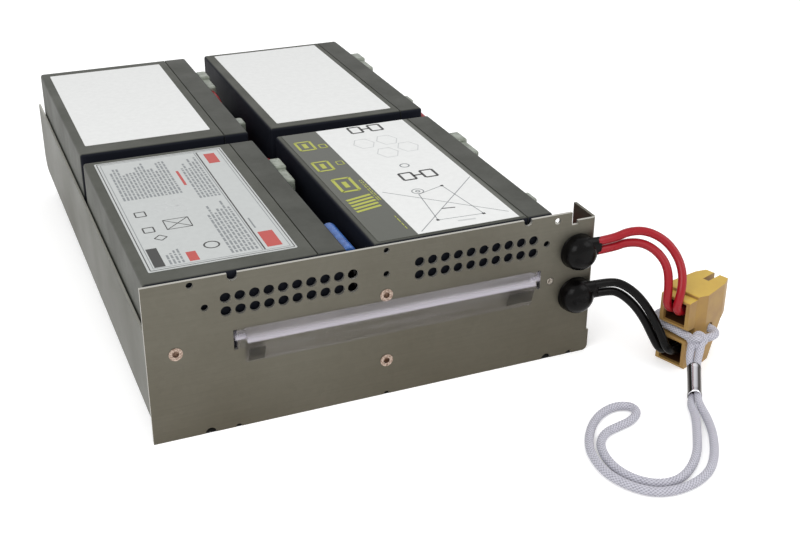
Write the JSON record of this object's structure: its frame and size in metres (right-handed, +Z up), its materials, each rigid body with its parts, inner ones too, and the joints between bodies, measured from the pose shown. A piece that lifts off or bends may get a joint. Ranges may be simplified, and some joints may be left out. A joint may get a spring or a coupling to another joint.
{
  "type": "UPS battery cartridge",
  "caption": "Sheet-metal tray of sealed batteries behind a vented front panel with a film pull strap, rubber cable boots and a yellow two-pole connector on a pull cord.",
  "frame": {"origin": "under the middle of the cartridge, without its free leads, connector and pull cord, level with the front panel's bottom edge", "axes": "+Z up, +Y from the front panel towards the back of the tray, +X towards the side with the cable boots"},
  "size_m": [0.293, 0.4484, 0.0817],
  "materials": {
    "tray_steel": "zinc-plated sheet, matt, lightly scuffed",
    "panel_steel": "zinc-plated sheet, warm grey, bare edges brighter",
    "copper_rivet": "copper-plated tubular rivet",
    "steel_rivet": "plain steel rivet",
    "clear_film": "glossy clear film",
    "foam": "closed-cell foam",
    "case_plastic": "moulded plastic, fine grain",
    "lid_plastic": "moulded plastic, fine grain",
    "tinned_terminal": "tin-plated blade",
    "label_silver": "printed silver-grey label, satin",
    "label_film": "printed film, white field on a dark ground",
    "label_white": "plain near-white label, satin",
    "sleeve_nylon": "milky nylon",
    "splice_blue": "shrunk blue sleeve",
    "lead_red": "flexible insulation",
    "lead_black": "flexible insulation",
    "boot_rubber": "moulded rubber",
    "connector_yellow": "moulded polycarbonate",
    "silver_contact": "silver-plated copper",
    "ferrule_chrome": "polished crimp ferrule",
    "cord_fibre": "fine white braid"
  },
  "bodies": {
    "root": {"tray": "tray_steel", "front_panel": "panel_steel", "panel_rivets": "copper_rivet", "flange_rivets": "steel_rivet", "pull_strap": "clear_film", "foam_pads": "foam", "battery_front_left_case": "case_plastic", "battery_front_left_lid": "lid_plastic", "battery_front_left_terminals": "tinned_terminal", "battery_front_left_label": "label_silver", "battery_front_left_flag_sleeve": "sleeve_nylon", "battery_front_right_case": "case_plastic", "battery_front_right_lid": "lid_plastic", "battery_front_right_terminals": "tinned_terminal", "battery_front_right_label": "label_film", "battery_front_right_flag_sleeve": "sleeve_nylon", "battery_front_right_straight_sleeve": "sleeve_nylon", "battery_rear_left_case": "case_plastic", "battery_rear_left_lid": "lid_plastic", "battery_rear_left_terminals": "tinned_terminal", "battery_rear_left_label": "label_white", "battery_rear_left_flag_sleeve": "sleeve_nylon", "battery_rear_left_straight_sleeve": "sleeve_nylon", "battery_rear_right_case": "case_plastic", "battery_rear_right_lid": "lid_plastic", "battery_rear_right_terminals": "tinned_terminal", "battery_rear_right_label": "label_white", "battery_rear_right_flag_sleeve": "sleeve_nylon", "battery_rear_right_straight_sleeve": "sleeve_nylon", "splice_sleeve": "splice_blue", "jumper_left": "lead_red", "jumper_right": "lead_red", "lead_red_left": "lead_red", "lead_red_right": "lead_red", "lead_black_left": "lead_black", "lead_black_right": "lead_black", "boot_upper": "boot_rubber", "boot_lower": "boot_rubber", "red_wire_1": "lead_red", "red_wire_2": "lead_red", "black_wire_1": "lead_black", "black_wire_2": "lead_black", "connector_housing": "connector_yellow", "connector_contacts": "silver_contact", "cord_ferrule": "ferrule_chrome", "cord_knot": "cord_fibre", "cord_wrap": "cord_fibre", "cord_strands": "cord_fibre", "pull_cord": "cord_fibre"}
  },
  "joints": []
}
